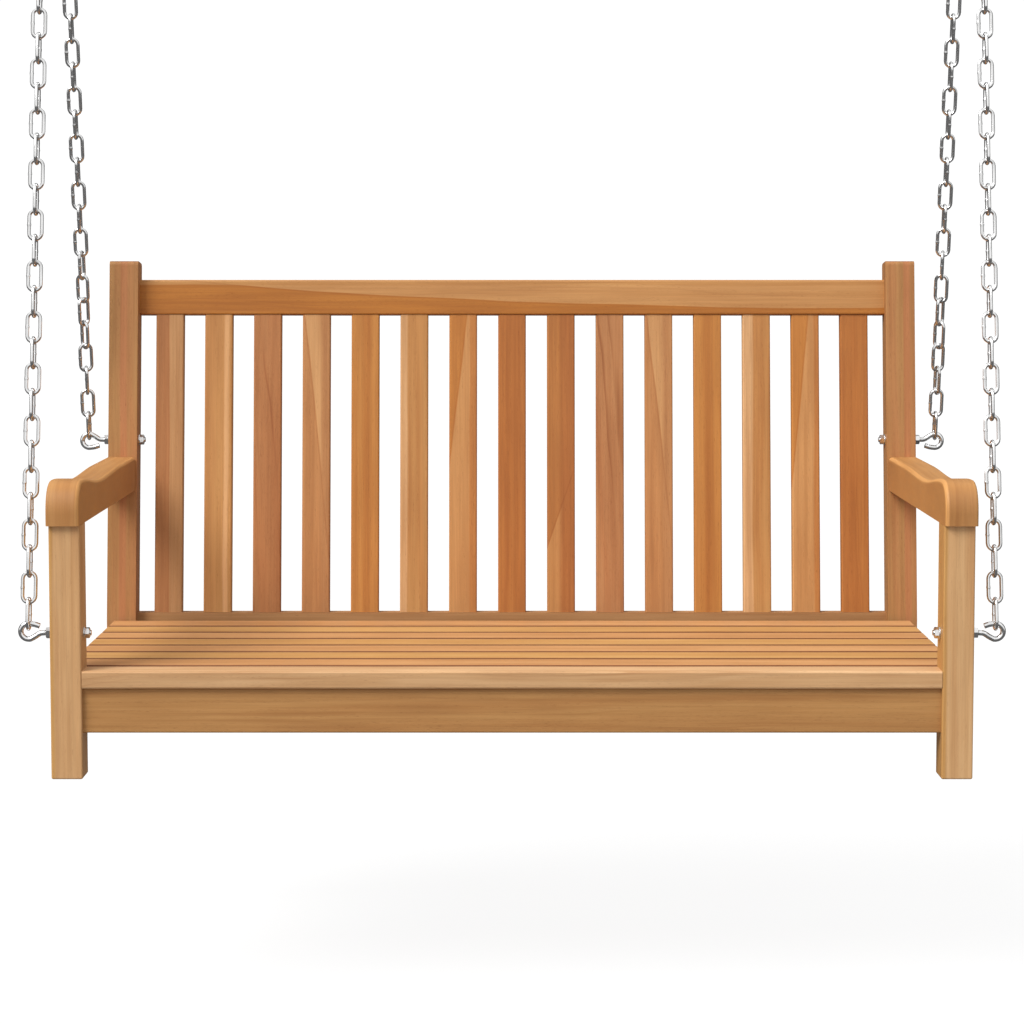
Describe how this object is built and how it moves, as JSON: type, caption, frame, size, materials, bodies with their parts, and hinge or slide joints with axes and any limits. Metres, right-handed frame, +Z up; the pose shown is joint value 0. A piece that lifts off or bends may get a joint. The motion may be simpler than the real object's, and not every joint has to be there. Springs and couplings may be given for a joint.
{
  "type": "porch swing",
  "caption": "Slatted wooden bench swing with arms and a raked slatted back, hung by link chains from eye bolts to rings and ceiling brackets.",
  "frame": {"origin": "on the ceiling, midway between the two brackets and straight above the line that the bench swings about", "axes": "+Z up, +X along the bench to the right of someone facing it, +Y from its front to its back"},
  "size_m": [1.369, 0.6008, 1.7783],
  "materials": {
    "teak": "oiled satin teak, straight grain along each stick",
    "zinc": "bright zinc plating"
  },
  "bodies": {
    "ceiling_brackets": {"ceiling_bracket_left": "zinc", "ceiling_bracket_right": "zinc"},
    "left_ring": {"ring_left": "zinc"},
    "left_hanger": {"chain_front_left": "zinc", "chain_rear_left": "zinc", "quick_link_left": "zinc"},
    "bench": {"front_leg_left": "teak", "back_post_left": "teak", "armrest_left": "teak", "side_rail_left": "teak", "front_leg_right": "teak", "back_post_right": "teak", "armrest_right": "teak", "side_rail_right": "teak", "apron": "teak", "rear_rail": "teak", "centre_support": "teak", "top_rail": "teak", "back_slat_1": "teak", "back_slat_2": "teak", "back_slat_3": "teak", "back_slat_4": "teak", "back_slat_5": "teak", "back_slat_6": "teak", "back_slat_7": "teak", "back_slat_8": "teak", "back_slat_9": "teak", "back_slat_10": "teak", "back_slat_11": "teak", "back_slat_12": "teak", "back_slat_13": "teak", "back_slat_14": "teak", "back_slat_15": "teak", "seat_slat_1": "teak", "seat_slat_2": "teak", "seat_slat_3": "teak", "seat_slat_4": "teak", "seat_slat_5": "teak", "seat_slat_6": "teak", "seat_slat_7": "teak", "seat_slat_8": "teak", "eye_bolt_front_left": "zinc", "outer_nut_front_left": "zinc", "inner_nut_front_left": "zinc", "eye_bolt_rear_left": "zinc", "outer_nut_rear_left": "zinc", "inner_nut_rear_left": "zinc", "eye_bolt_front_right": "zinc", "outer_nut_front_right": "zinc", "inner_nut_front_right": "zinc", "eye_bolt_rear_right": "zinc", "outer_nut_rear_right": "zinc", "inner_nut_rear_right": "zinc"},
    "right_ring": {"ring_right": "zinc"},
    "right_hanger": {"chain_front_right": "zinc", "chain_rear_right": "zinc", "quick_link_right": "zinc"}
  },
  "joints": [
    {"name": "swing", "type": "hinge", "parent": "ceiling_brackets", "child": "left_ring", "pos_m": [-0.6395, 0, -0.05], "axis": [1, 0, 0], "range_deg": [-25, 25]},
    {"name": "swing_right", "type": "hinge", "parent": "ceiling_brackets", "child": "right_ring", "pos_m": [0.6395, 0, -0.05], "axis": [1, 0, 0], "range_deg": [-25, 25]},
    {"name": "sway", "type": "hinge", "parent": "left_ring", "child": "left_hanger", "pos_m": [-0.6395, -0.00059, -0.09872], "axis": [0, 0.9251, 0.3796], "range_deg": [-5, 5]},
    {"name": "sway_right", "type": "hinge", "parent": "right_ring", "child": "right_hanger", "pos_m": [0.6395, -0.00059, -0.09872], "axis": [0, 0.9251, 0.3796], "range_deg": [-5, 5]},
    {"name": "level", "type": "hinge", "parent": "left_hanger", "child": "bench", "pos_m": [-0.631, -0.30817, -1.57678], "axis": [0, 0.9251, 0.3796], "range_deg": [-5.2, 5.2]}
  ],
  "couplings": [
    {"joint": "swing_right", "follows": "swing", "ratio": 1},
    {"joint": "sway_right", "follows": "sway", "ratio": 1},
    {"joint": "level", "follows": "sway", "ratio": -1.0135}
  ]
}
